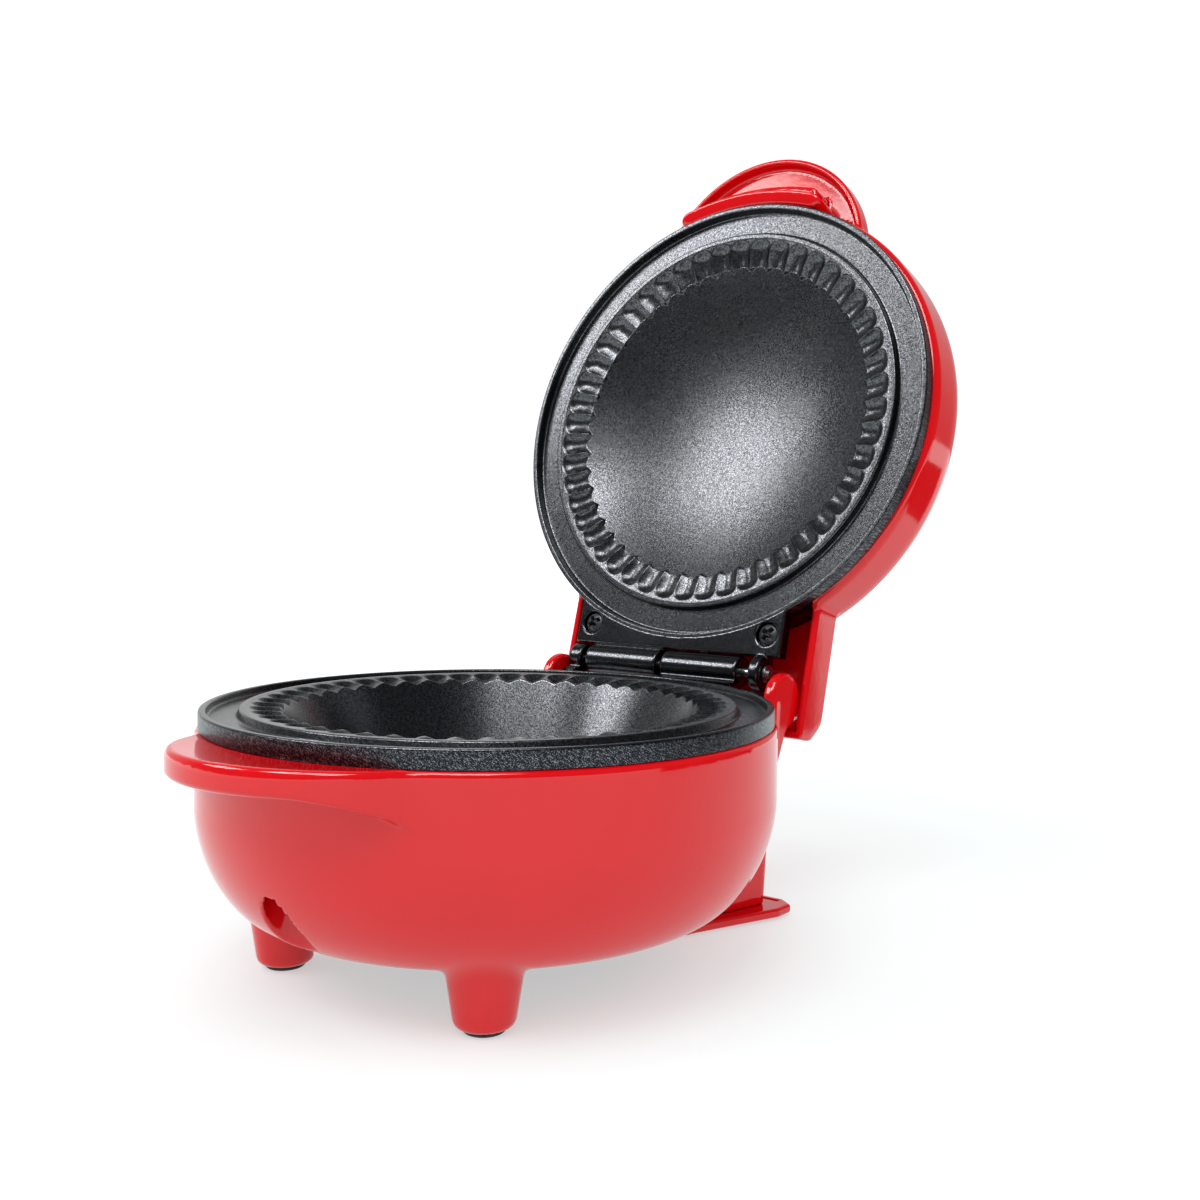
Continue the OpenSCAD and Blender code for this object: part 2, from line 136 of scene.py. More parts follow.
def plate_material(name, dark, light, rough0, rough1, grain=1.0):
    """Cast aluminium under a dark non-stick coat with fine metallic speckle."""
    m, nt, b = new_material(name)
    co = add(nt, "ShaderNodeTexCoord").outputs["Object"]
    speck = noise(nt, co, 2900 * grain, 1.0, 0.5)
    blotch = noise(nt, co, 1300 * grain, 2)
    cloud = noise(nt, co, 34, 4)
    mix = add(nt, "ShaderNodeMath", operation="MULTIPLY_ADD")
    nt.links.new(blotch, mix.inputs[0])
    mix.inputs[1].default_value = 0.35
    nt.links.new(speck, mix.inputs[2])
    col = ramp(nt, mix.outputs[0], [(0.50, dark), (0.68, tuple(d + (l - d) * 0.4 for d, l in zip(dark, light))), (0.86, light)])
    tint = add(nt, "ShaderNodeMix", data_type="RGBA", blend_type="MULTIPLY")
    tint.inputs["Factor"].default_value = 1.0
    nt.links.new(col, tint.inputs[6])
    nt.links.new(ramp(nt, cloud, [(0.3, (0.90, 0.91, 0.94)), (0.7, (1, 1, 1))]), tint.inputs[7])
    nt.links.new(tint.outputs[2], b.inputs["Base Color"])
    rough = ramp(nt, cloud, [(0.3, gray(rough0)), (0.7, gray(rough1))])
    nt.links.new(rough, b.inputs["Roughness"])
    bump(nt, b, speck, 0.07, 0.0001)
    b.inputs["Metallic"].default_value = 1.0
    return m


def band_material():
    """The plates' turned side: slanting hairlines and bright specks over the dark coat."""
    m, nt, b = new_material("cast_band")
    co = add(nt, "ShaderNodeTexCoord").outputs["Object"]
    sep = add(nt, "ShaderNodeSeparateXYZ")
    nt.links.new(co, sep.inputs[0])
    ang = add(nt, "ShaderNodeMath", operation="ARCTAN2")
    nt.links.new(sep.outputs[1], ang.inputs[0])
    nt.links.new(sep.outputs[0], ang.inputs[1])
    arc = add(nt, "ShaderNodeMath", operation="MULTIPLY")
    nt.links.new(ang.outputs[0], arc.inputs[0])
    arc.inputs[1].default_value = 0.075
    slant = add(nt, "ShaderNodeMath", operation="MULTIPLY_ADD")
    nt.links.new(sep.outputs[2], slant.inputs[0])
    slant.inputs[1].default_value = 1.4
    nt.links.new(arc.outputs[0], slant.inputs[2])
    across = add(nt, "ShaderNodeMath", operation="MULTIPLY")
    nt.links.new(sep.outputs[2], across.inputs[0])
    across.inputs[1].default_value = 0.35
    mixv = add(nt, "ShaderNodeCombineXYZ")
    nt.links.new(slant.outputs[0], mixv.inputs[0])
    nt.links.new(across.outputs[0], mixv.inputs[1])
    hair = noise(nt, mixv.outputs[0], 3200, 1, 0.5)
    speck = noise(nt, co, 4200, 0.5, 0.5)
    both = add(nt, "ShaderNodeMath", operation="MULTIPLY_ADD")
    nt.links.new(hair, both.inputs[0])
    both.inputs[1].default_value = 0.9
    nt.links.new(speck, both.inputs[2])
    half = add(nt, "ShaderNodeMath", operation="MULTIPLY")
    nt.links.new(both.outputs[0], half.inputs[0])
    half.inputs[1].default_value = 0.72
    col = ramp(nt, half.outputs[0], [(0.60, (0.016, 0.017, 0.021)), (0.74, (0.044, 0.046, 0.054)), (0.85, (0.26, 0.265, 0.29))])
    nt.links.new(col, b.inputs["Base Color"])
    nt.links.new(ramp(nt, hair, [(0.3, gray(0.36)), (0.75, gray(0.28))]), b.inputs["Roughness"])
    bump(nt, b, hair, 0.25, 0.00012)
    b.inputs["Metallic"].default_value = 1.0
    return m


def plain_material(name, color, rough, metallic=0.0, scale=600, strength=0.15, dist=0.0002, **kw):
    m, nt, b = new_material(name)
    co = add(nt, "ShaderNodeTexCoord").outputs["Object"]
    a = noise(nt, co, scale * 0.1, 3)
    lo = tuple(c * 0.85 for c in color[:3])
    hi = tuple(min(1, c * 1.1) for c in color[:3])
    nt.links.new(ramp(nt, a, [(0.3, lo), (0.7, hi)]), b.inputs["Base Color"])
    nt.links.new(ramp(nt, noise(nt, co, scale * 0.25, 3), [(0.3, gray(max(0.03, rough * 0.8))), (0.7, gray(min(1, rough * 1.25)))]), b.inputs["Roughness"])
    bump(nt, b, noise(nt, co, scale, 2), strength, dist)
    b.inputs["Metallic"].default_value = metallic
    for k, v in kw.items():
        b.inputs[k.replace("_", " ")].default_value = v
    return m


RED = red_material()
CAST = plate_material("cast_plate", (0.022, 0.023, 0.027), (0.172, 0.176, 0.181), 0.25, 0.29)
SMOOTH = plate_material("cast_smooth", (0.022, 0.023, 0.027), (0.150, 0.153, 0.158), 0.18, 0.22, 1.2)
BAND = band_material()
SCREW = plain_material("black_screw", (0.062, 0.063, 0.067), 0.36, 0.6, 900)
STEEL = plain_material("steel", (0.62, 0.63, 0.65), 0.25, 1.0, 900)
TUBE = plain_material("element_tube", (0.22, 0.2, 0.19), 0.45, 0.9, 500)
SHEET = plain_material("reflector_sheet", (0.75, 0.76, 0.77), 0.2, 1.0, 400)
RUBBER = plain_material("rubber", (0.012, 0.012, 0.013), 0.62, 0.0, 1800, 0.4)
BLACK = plain_material("black_plastic", (0.016, 0.016, 0.018), 0.42, 0.0, 1500, 0.3)
CERAMIC = plain_material("ceramic", (0.78, 0.75, 0.68), 0.5, 0.0, 900)
SLEEVE = plain_material("glass_sleeve", (0.7, 0.69, 0.62), 0.8, 0.0, 2500, 0.6)
NEON = plain_material("neon", (0.9, 0.5, 0.25), 0.12, 0.0, 300, 0.05, Transmission_Weight=0.5)
LENS_RED = plain_material("lens_red", (0.75, 0.03, 0.02), 0.1, 0.0, 300, 0.04, Transmission_Weight=0.5)
LENS_GREEN = plain_material("lens_green", (0.03, 0.5, 0.1), 0.1, 0.0, 300, 0.04, Transmission_Weight=0.5)

# ------------------------------------------------------------------ meshes
def add_mesh(name, P, faces, mats, normals=None, index=None, sharp=None):
    me = bpy.data.meshes.new(name)
    me.from_pydata((P * 0.001).tolist(), [], faces)
    for m in mats:
        me.materials.append(m)
    me.polygons.foreach_set("use_smooth", np.ones(len(me.polygons), bool))
    if index is not None:
        me.polygons.foreach_set("material_index", np.asarray(index, np.int32))
    me.update()
    if sharp is not None:
        me.set_sharp_from_angle(angle=math.radians(sharp))
    if normals is not None:
        me.normals_split_custom_set_from_vertices(normals.tolist())
    ob = bpy.data.objects.new(name, me)
    bpy.context.scene.collection.objects.link(ob)
    return ob


def smin(a, b, k):
    h = np.clip(0.5 + 0.5 * (b - a) / k, 0, 1)
    return b + (a - b) * h - k * h * (1 - h)


def smax(a, b, k):
    return -smin(-a, -b, k)


def rounded(d2, z, z0, z1, r):
    """A flat shape of thickness z0 to z1 with its edges rounded by r."""
    qx = d2 + r
    qz = np.abs(z - (z0 + z1) / 2) - ((z1 - z0) / 2 - r)
    return np.minimum(np.maximum(qx, qz), 0) + np.hypot(np.maximum(qx, 0), np.maximum(qz, 0)) - r


def box3(X, Y, Z, c, h, r):
    q = [np.abs(X - c[0]) - h[0] + r, np.abs(Y - c[1]) - h[1] + r, np.abs(Z - c[2]) - h[2] + r]
    out = np.sqrt(np.maximum(q[0], 0) ** 2 + np.maximum(q[1], 0) ** 2 + np.maximum(q[2], 0) ** 2)
    return out + np.minimum(np.maximum(np.maximum(q[0], q[1]), q[2]), 0) - r


def poly2(px, py, pts):
    n = len(pts)
    d = np.full(px.shape, 1e9)
    s = np.ones(px.shape)
    for i in range(n):
        ax, ay = pts[i]
        bx, by = pts[i - 1]
        ex, ey = bx - ax, by - ay
        wx, wy = px - ax, py - ay
        t = np.clip((wx * ex + wy * ey) / (ex * ex + ey * ey), 0, 1)
        d = np.minimum(d, (wx - ex * t) ** 2 + (wy - ey * t) ** 2)
        c1, c2, c3 = py >= ay, py < by, ex * wy > ey * wx
        s = np.where((c1 & c2 & c3) | (~c1 & ~c2 & ~c3), -s, s)
    return s * np.sqrt(d)


def superell(r, z, r0, a, z0, b, n):
    """Distance to a superellipse quarter: r0 + a across, z0 + b along z."""
    u = np.maximum((r - r0) / a, 1e-5)
    v = np.maximum((z - z0) / b, 1e-5)
    g = (u ** n + v ** n) ** (1 / n)
    gu, gv = (u / g) ** (n - 1) / a, (v / g) ** (n - 1) / b
    return (g - 1) / np.maximum(np.hypot(gu, gv), 1e-4)


CORNERS = list(itertools.product((0, 1), repeat=3))
EDGES = [(a, b) for a, b in itertools.combinations(range(8), 2)
         if sum(x != y for x, y in zip(CORNERS[a], CORNERS[b])) == 1]


def grown(f, lo, hi, cell, relax=2, h=0.04):
    """A quad mesh on the surface f = 0, with f's own normals."""
    lo, hi = np.array(lo, float), np.array(hi, float)
    n = np.ceil((hi - lo) / cell).astype(int) + 1
    ax = [lo[i] + cell * np.arange(n[i]) for i in range(3)]
    V = np.empty(n, np.float32)
    Y, Z = np.meshgrid(ax[1], ax[2], indexing="ij")
    step = max(1, int(600000 / Y.size))
    for i in range(0, n[0], step):
        x = ax[0][i:i + step][:, None, None]
        shape = (len(x),) + Y.shape
        V[i:i + step] = f(np.broadcast_to(x, shape), np.broadcast_to(Y, shape), np.broadcast_to(Z, shape))
    S = V < 0
    c = np.zeros(n - 1, np.uint8)
    for d in CORNERS:
        c += S[d[0]:n[0] - 1 + d[0], d[1]:n[1] - 1 + d[1], d[2]:n[2] - 1 + d[2]]
    act = (c > 0) & (c < 8)
    idx = np.full(act.shape, -1, np.int64)
    ijk = np.argwhere(act)
    idx[act] = np.arange(len(ijk))
    vals = np.stack([V[ijk[:, 0] + d[0], ijk[:, 1] + d[1], ijk[:, 2] + d[2]] for d in CORNERS], 1).astype(float)
    acc, cnt = np.zeros((len(ijk), 3)), np.zeros(len(ijk))
    cs = np.array(CORNERS, float)
    for a, b in EDGES:
        m = (vals[:, a] < 0) != (vals[:, b] < 0)
        t = vals[m, a] / (vals[m, a] - vals[m, b])
        acc[m] += cs[a] + (cs[b] - cs[a]) * t[:, None]
        cnt[m] += 1
    P = lo + (ijk + acc / cnt[:, None]) * cell
    quads = []
    for axis in range(3):
        u, v = (axis + 1) % 3, (axis + 2) % 3
        s = [slice(1, -1)] * 3
        s0, s1 = list(s), list(s)
        s0[axis], s1[axis] = slice(None, -1), slice(1, None)
        a0, a1 = S[tuple(s0)], S[tuple(s1)]

        def cells(lu, lv):
            q = [slice(None)] * 3
            q[u] = slice(1, None) if lu else slice(None, -1)
            q[v] = slice(1, None) if lv else slice(None, -1)
            return idx[tuple(q)]
        A, B, C, D = cells(0, 0), cells(1, 0), cells(1, 1), cells(0, 1)
        out = a0 & ~a1
        quads.append(np.stack([A[out], B[out], C[out], D[out]], 1))
        out = ~a0 & a1
        quads.append(np.stack([D[out], C[out], B[out], A[out]], 1))
    Q = np.concatenate(quads)

    def ev(p):
        return f(p[:, 0], p[:, 1], p[:, 2])

    def grad(p):
        g = np.empty_like(p)
        for k in range(3):
            e = np.zeros(3)
            e[k] = h
            g[:, k] = (ev(p + e) - ev(p - e)) / (2 * h)
        return g

    def settle(p, times):
        for _ in range(times):
            g = grad(p)
            stepv = (ev(p) / np.maximum((g ** 2).sum(1), 0.3))[:, None] * g
            size = np.linalg.norm(stepv, axis=1, keepdims=True)
            p = p - stepv * np.minimum(1, 0.5 * cell / np.maximum(size, 1e-9))
        return p
    P = settle(P, 2)
    for _ in range(relax):
        tot, num = np.zeros_like(P), np.zeros(len(P))
        for a, b in ((0, 1), (1, 2), (2, 3), (3, 0)):
            for p, q in ((a, b), (b, a)):
                for k in range(3):
                    tot[:, k] += np.bincount(Q[:, p], P[Q[:, q], k], len(P))
                num += np.bincount(Q[:, p], minlength=len(P))
        P = settle(P + 0.5 * (tot / np.maximum(num, 1)[:, None] - P), 2)
    N = grad(P)
    N /= np.maximum(np.linalg.norm(N, axis=1, keepdims=True), 1e-9)
    return P, Q, N


# ---- base shell
def bowl_d(r, Z, off=0.0):
    return superell(r, -Z, 57 - off * 0.6, 18.4 - off * 0.4, -44 - off * 0.2, 28.8 - off * 0.8, 1.8)


def column_side(X, Y, Z):
    return 0.957 * np.abs(X) - 0.290 * Y - (18.06 + (Z - 3) * 0.052)


def column_d(X, Y, Z, off=0.0):
    side = column_side(X, Y, Z) + off
    d = smax(side, Y - 74.6 + off, 3.2)
    return smax(d, 42 - Y + off, 2.0)


def ear_d(X, Y, Z):
    d = np.hypot(Y - 79.3, Z - 63.2) - 8.2
    d = smin(d, poly2(Y, Z, [(71.1, 44), (74.6, 44), (79.6, 53.6), (85.6, 58.6), (87.2, 62.5), (79.3, 71), (74, 69), (71.1, 63.2)]), 1.0)
    return rounded(d, np.abs(X), 40.6, 44.2, 1.1)


def foot_d(X, Y, Z):
    r = np.hypot(np.abs(X) - 34.9, Y + 40.15)
    side = (r - (7.35 + (Z - 2.8) * 0.155)) * 0.988
    d = smax(side, 1.0 - Z, 2.2)
    return np.maximum(d, Z - 24)


def base_f(X, Y, Z):
    r = np.hypot(X, Y)
    bowl = bowl_d(r, Z)
    outer = smax(bowl, Z - 66, 0.5)
    ends = np.clip((np.abs(X) - 17.0) / 19.5, 0, 1.25)
    rise = np.clip((r - 76.5) / 14.6, 0, 1.1)
    handle = rounded(np.hypot(X, Y + 51.3) - 39.4, Z, 57.4 + 0.8 * rise - 5.6 * ends ** 2.2, 63.2 + 1.25 * rise, 1.3)
    outer = smin(outer, handle, 3.5)
    outer = smin(outer, foot_d(X, Y, Z), 3.0)
    col = np.maximum(column_d(X, Y, Z), 3.4 - Z)
    outer = smin(outer, col, 3.0)
    outer = smax(outer, Z - BASE_TOP, 1.5)
    outer = smin(outer, smax(handle, 75.2 - r, 0.5), 0.8)
    outer = smin(outer, ear_d(X, Y, Z), 1.2)
    inner = np.maximum(bowl_d(r, Z, 2.3), 17.7 - Z)
    scallop = np.hypot(X, Y + 66.3)
    inner = np.maximum(inner, 8.0 - scallop)
    colin = np.maximum(np.maximum(column_d(X, Y, Z, 2.4), Z - 60.6), 2.0 - Z)
    inner = np.minimum(inner, colin)
    d = smax(outer, -inner, 0.4)
    d = smax(d, 6.0 - scallop, 1.0)
    d = np.maximum(d, -np.maximum(r - 46.2, Z - 17.0))
    d = np.maximum(d, -np.maximum(r - 36.5, Z - 19.0))
    d = np.maximum(d, -np.maximum(np.hypot(np.abs(X) - 34.9, Y + 40.15) - 5.3, Z - 2.6))
    d = np.maximum(d, -np.maximum(np.hypot(X, Z - 24) - 5.0, 60 - Y))
    return d


P, Q, N = grown(base_f, (-76.9, -92.9, -0.35), (76.9, 89.2, 73.1), 0.8)
base = add_mesh("base_shell_formed", P, Q.tolist(), [RED], N)
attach(base, "base"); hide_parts("base_shell")


# ---- rear stand
STAND = [(-35.8, 44.7), (-33.6, 38), (33.6, 38), (35.8, 44.7), (38.9, 52.8), (41.4, 59.4), (44, 66.1), (46.7, 73.1), (46.9, 79.0), (43, 82), (-43, 82), (-46.9, 79.0), (-46.7, 73.1), (-44, 66.1), (-41.4, 59.4), (-38.9, 52.8)]


def stand_f(X, Y, Z):
    d2 = poly2(X, Y, [(x * 0.985, 38.5 + (y - 38) * 0.965) for x, y in STAND]) - 0.9
    d = rounded(d2, Z, 0.8, 3.4, 0.8)
    slot = np.maximum(np.maximum(np.abs(X) - 42.3, np.abs(Y - 79.2) - 0.55), 2.3 - Z)
    d = smax(d, -slot, 0.3)
    for cx, cy, top, cr in ((30, 46, 2, 3.8), (40, 75, 2, 3.8), (35.4, 64, 2.6, 3.2), (35.4, 64, 10, 1.7)):
        d = np.maximum(d, -np.maximum(np.hypot(np.abs(X) - cx, Y - cy) - cr, Z - top))
    return d


P, Q, N = grown(stand_f, (-48.4, 36.4, 0.3), (48.4, 83.2, 4.0), 0.45)
stand = add_mesh("rear_stand_formed", P, Q.tolist(), [RED], N)
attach(stand, "base"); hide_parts("rear_stand")


# ---- lid shell, drawn closed
def lid_dome(r, Z, off=0.0):
    return superell(r, Z, 0, 76.5 - off * 1.1, 84 - off * 0.5, 20 - off * 0.6, 3.2)


def lid_f(X, Y, Z):
    r = np.hypot(X, Y)
    outer = smax(lid_dome(r, Z), UP1 - Z, 3.0)
    # rear hinge cover: a hood open underneath
    hood = box3(X, Y, Z, (0, 70.75, 80.65), (46.8, 30.75, 6.25), 0.9)
    hood = smax(hood, (Y - 101.5 + (Z - 86.9)) * 0.7071 + 2.4, 4.0)
    outer = smin(outer, hood, 1.6)
    # handle
    hr = np.hypot(X, Y + 58.7)
    grip = rounded(hr - 39.6, Z, 79.6, 87.0, 1.3)
    grip = smax(grip, -rounded(hr - 37.6, Z, 70.0, 83.3, 1.5), 0.9)
    grip = smax(grip, (r - 120), 0.5)
    outer = smin(outer, np.maximum(grip, 74.6 - r), 2.4)
    # front skirt
    ang = np.abs(np.arctan2(X, -Y)) * 77.0
    tab = np.maximum(75.6 - r, r - 80.6)
    tab = smax(tab, ang - 27.6, 4.0)
    tab = smax(tab, np.maximum((68.9 + (80.4 - r) * 0.36 - Z) * 0.94, Z - 80.5), 1.3)
    outer = smin(outer, tab, 0.7)
    # ledge behind the skirt
    ledge = smax(np.maximum(75.6 - r, r - 84.4), np.abs(X) - 23.5, 2.2)
    ledge = smax(ledge, np.maximum(73.9 - Z, Z - 84.0), 1.2)
    outer = smin(outer, np.maximum(ledge, Y), 0.6)
    inner = np.maximum(lid_dome(r, Z, 2.3), UP1 - 3 - Z)
    hin = np.maximum(np.maximum(np.abs(X) - 44.6, np.abs(Y - 75) - 24.3), Z - 84.7)
    hin = smax(hin, (Y - 99.3 + (Z - 84.7)) * 0.7071 + 1.6, 3.0)
    inner = np.minimum(inner, hin)
    d = smax(outer, -inner, 0.5)
    d = np.maximum(d, -np.maximum(np.hypot(np.abs(X) - 9, Y + 40) - 3.3, 90 - Z))
    return d


P, Q, N = grown(lid_f, (-78.1, -98.9, 67.65), (78.1, 103.1, 105.3), 0.8)
lid = add_mesh("lid_shell_formed", swing(P), Q.tolist(), [RED], turn(N))
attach(lid, "lid"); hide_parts("lid_shell")


# ---- cooking plates: a fluted turned body
FL = np.array([-0.5, -0.48, -0.455, -0.42, -0.37, -0.3, -0.2, -0.1, 0, 0.1, 0.2, 0.3, 0.37, 0.42, 0.455, 0.48])
U = np.tile(FL, NF)
PHI = (np.repeat(np.arange(NF), len(FL)) + U) * 2 * math.pi / NF


def smooth01(x):
    x = np.clip(x, 0, 1)
    return x * x * (3 - 2 * x)


def filleted(pts, support=0.18):
    """(r, z, radius) corners to a polyline with arcs and support points."""
    out = [np.array(pts[0][:2], float)]
    for i in range(1, len(pts) - 1):
        p = np.array(pts[i][:2], float)
        rad = pts[i][2]
        a = np.array(pts[i - 1][:2], float) - p
        b = np.array(pts[i + 1][:2], float) - p
        la, lb = np.linalg.norm(a), np.linalg.norm(b)
        a, b = a / la, b / lb
        if rad <= 0:
            out.append(p)
            continue
        half = math.acos(np.clip(a @ b, -1, 1)) / 2
        t = min(rad / math.tan(half), 0.49 * la, 0.49 * lb)
        rad = t * math.tan(half)
        mid = (a + b) / np.linalg.norm(a + b)
        c = p + mid * rad / math.sin(half)
        s, e = p + a * t - c, p + b * t - c
        if t + support < 0.5 * la:
            out.append(p + a * (t + support))
        steps = 4 if rad < 2 else 8
        total = math.acos(np.clip(s @ e / (rad * rad), -1, 1))
        for k in range(steps + 1):
            w = k / steps
            v = (math.sin((1 - w) * total) * s + math.sin(w * total) * e) / math.sin(total)
            out.append(c + v)
        if t + support < 0.5 * lb:
            out.append(p + b * (t + support))
    out.append(np.array(pts[-1][:2], float))
    return out


def turned(name, rows, mats, slots_of, body, flip, node):
    """rows: list of (r, z, material) with r, z arrays over PHI, from the pole on the food side round to the back pole."""
    n = len(PHI)
    c, s = np.cos(PHI), np.sin(PHI)
    P = [np.array([[0, 0, float(np.mean(rows[0][1]))]])]
    for r, z, _ in rows:
        r, z = np.broadcast_to(r, n), np.broadcast_to(z, n)
        P.append(np.stack([r * c, r * s, z], 1))
    P.append(np.array([[0, 0, float(np.mean(rows[-1][1]))]]))
    P = np.concatenate(P)
    i, j = np.arange(n), (np.arange(n) + 1) % n
    faces, index = [], []
    faces += np.stack([np.zeros(n, int), 1 + i, 1 + j], 1).tolist()
    index += [rows[0][2]] * n
    for k in range(len(rows) - 1):
        a, b = 1 + k * n, 1 + (k + 1) * n
        faces += np.stack([a + i, b + i, b + j, a + j], 1).tolist()
        index += [rows[k + 1][2]] * n
    last = len(P) - 1
    a = 1 + (len(rows) - 1) * n
    faces += np.stack([a + i, np.full(n, last), a + j], 1).tolist()
    index += [rows[-1][2]] * n
    if flip:
        faces = [f[::-1] for f in faces]
    return P, faces, index


ST = [0.0, 0.03, 0.07, 0.13, 0.2, 0.28, 0.36, 0.44, 0.52, 0.59, 0.65, 0.70, 0.745, 0.79, 0.83, 0.87, 0.905, 0.94, 0.97, 1.0]


def scoop(s, cap, soft=0.0):
    """Depth pattern of one flute, s running 0 at the lip to 1 at the inner end:
    a round-ended scoop between sharp ridges, the ridges easing to rounded ones by soft."""
    t = np.hypot(2 * U, np.maximum(0, cap - s) / cap)
    sharp = np.cos(0.5 * math.pi * np.minimum(t, 1))
    sharp = (np.sqrt(sharp ** 2 + 0.006) - 0.0775) / 0.9255
    eased = 1 - np.sqrt(np.sin(math.pi * U) ** 2 + 0.02) + 0.1
    w = smooth01((s - 0.45) / 0.55) * soft
    return sharp * (1 - w) + eased * w


# lower plate
LD = 29.0


def low_flute(r):
    """Height of the fluted slope at radius r for every direction in PHI."""
    s = (62.4 - r) / 8.4
    ridge = RIM - 0.12 - 0.4 * smooth01((62.4 - r) / 3.6) - 0.15 * smooth01((58.0 - r) / 4.2)
    depth = 1.65 - 0.35 * smooth01((s - 0.5) / 0.5)
    return ridge - depth * scoop(s, 0.42, 0.9)


def wall_r(z):
    return 54.3 + (z - (RIM - 1.3)) / 2.02


low_in = np.full(len(PHI), 54.0)
for _ in range(60):
    low_in = low_in + 0.4 * (wall_r(low_flute(low_in)) - low_in)
low_z_in = low_flute(low_in)
foot_z = RIM - LD
floor_part = filleted([(2.0, foot_z, 0), (wall_r(foot_z), foot_z, 11.0), (wall_r(RIM - 6.5), RIM - 6.5, 0)])[:-1]
rows = [(p[0], p[1], 0) for p in ([np.array([2.0, foot_z]), np.array([12.0, foot_z]), np.array([24.0, foot_z])] + floor_part[1:])]
fr, fz = floor_part[-1]
for t in (0.12, 0.25, 0.4, 0.55, 0.7, 0.82, 0.91):
    rows.append((fr + (low_in - fr) * t, fz + (low_z_in - fz) * t, 0))
for drop in (0.55, 0.2):
    rows.append((wall_r(low_z_in - drop), low_z_in - drop, 0))
for out in (0.18, 0.5):
    rows.append((low_in + out, low_flute(low_in + out), 0))
for q in ST[2:]:
    r = low_in + 0.5 + (62.4 - low_in - 0.5) * q
    rows.append((r, low_flute(r), 0))
lip = filleted([(62.6, RIM - 0.12, 0), (63.1, RIM, 0.3), (64.6, RIM, 0.5), (65.4, RIM - 2.0, 0.6), (72.4, RIM - 2.0, 0.6),
                (72.7, RIM, 0.45), (74.5, RIM, 0.5), (74.5, BASE_TOP, 0.3), (72.2, BASE_TOP, 0)])
for p in lip:
    side = 1 if p[0] > 74.47 and p[1] < RIM - 0.45 else 0
    rows.append((p[0], p[1], side))
for p in [(72.2, BASE_TOP - 2), (66.5, BASE_TOP - 2), (65.5, BASE_TOP + 0.4), (57.0, RIM - 9.5), (53.2, RIM - 14), (47.3, RIM - 25), (44, RIM - 30), (38, RIM - 32), (2, RIM - 32)]:
    rows.append((p[0], p[1], 0))
P, F, I = turned("lower", rows, None, None, "base", False, "lower_plate")
LOW = (P, F, I)

# upper plate
def up_flute(r):
    s = (62.4 - r) / 9.0
    q = np.clip(s, 0, 1.25)
    ridge = UP0 + 0.95 + 2.7 * (0.6 * q + 0.4 * q * q)
    t = np.minimum(1, (2 * U) ** 2 + (np.maximum(0, 0.34 - s) / 0.34) ** 2)
    round_scoop = (np.sqrt((1 - t) ** 2 + 0.0016) - 0.04) / 0.9608
    return ridge + (1.6 - 0.5 * smooth01((s - 0.55) / 0.45)) * round_scoop


def dome_z(r):
    return UP0 + 14.0 - 9.6 * (r / 54.0) ** 2.05


SC = np.cos(math.pi * U)
up_in = 53.3 + 1.1 * SC
dome_edge = up_in - (0.2 + 0.45 * (1 - SC))
rows = [(dome_edge * t, dome_z(dome_edge * t), 0) for t in (0.04, 0.12, 0.2, 0.28, 0.36, 0.44, 0.52, 0.6, 0.68, 0.76, 0.84, 0.9, 0.95, 0.975, 0.99)]
rows.append((dome_edge - 0.12, dome_z(dome_edge - 0.12), 0))
for t in (0.04, 0.15, 0.5, 0.85, 0.96):
    rows.append((dome_edge + (up_in - dome_edge) * t, dome_z(dome_edge) + (up_flute(up_in) - dome_z(dome_edge)) * t, 0))
rows.append((up_in + 0.12, up_flute(up_in + 0.12), 0))
for q in ST[1:]:
    r = up_in + (62.4 - up_in) * q
    rows.append((r, up_flute(r), 0))
lip = filleted([(62.6, UP0 + 0.92, 0), (63.1, UP0 + 0.8, 0.3), (64.6, UP0 + 0.8, 0.5), (65.3, UP0 + 3.1, 0.6), (72.8, UP0 + 3.1, 0.6),
                (73.2, UP0, 0.45), (75.0, UP0, 0.5), (75.0, UP1 - 0.02, 0.2), (73.2, UP1 - 0.02, 0)])
for p in lip:
    side = 1 if p[0] > 74.97 and p[1] > UP0 + 0.45 else 0
    rows.append((p[0], p[1], side))
for p in [(73.2, UP1 + 1.6), (64, UP1 + 1.6), (57, UP0 + 9.5), (50, UP0 + 12.2), (40, UP0 + 14.8), (28, UP0 + 17), (14, UP0 + 18.2), (2, UP0 + 18.5)]:
    rows.append((p[0], p[1], 0))
P, F, I = turned("upper", rows, None, None, "lid", True, "upper_plate")
UPP = (P, F, I)


def barrel(X, Y, Z, x0, x1, rad, edge=0.8):
    return rounded(np.hypot(Y - HY, Z - HZ) - rad, X, x0, x1, edge)


def low_ext_f(X, Y, Z):
    r = np.hypot(X, Y)
    d = rounded(np.maximum(np.abs(X) - 39.0, np.maximum(Y - 78.6, 60 - Y)), Z, BASE_TOP, RIM - 2.1, 0.6)
    d = np.maximum(d, 73.9 - r)
    for x0, x1 in ((-38.8, -33.9), (-1.8, 26.2)):
        web = box3(X, Y, Z, ((x0 + x1) / 2, 79.6, 65.9), ((x1 - x0) / 2, 3.2, 1.75), 0.4)
        d = smin(d, smin(barrel(X, Y, Z, x0, x1, 4.9), web, 1.2), 0.6)
    for x0, x1, rr in ((-32.8, -3.1, 5.5), (30.1, 40.0, 6.1)):
        d = smax(d, -rounded(np.hypot(Y - HY, Z - HZ) - rr, X, x0, x1, 0.1), 0.3)
    s = np.hypot(np.abs(X) - 33.5, Y - 71.6)
    d = smax(d, -np.maximum(s - 3.75, RIM - 3.4 - Z), 0.35)
    d = np.maximum(d, 1.55 - np.hypot(Y - HY, Z - HZ))
    return d


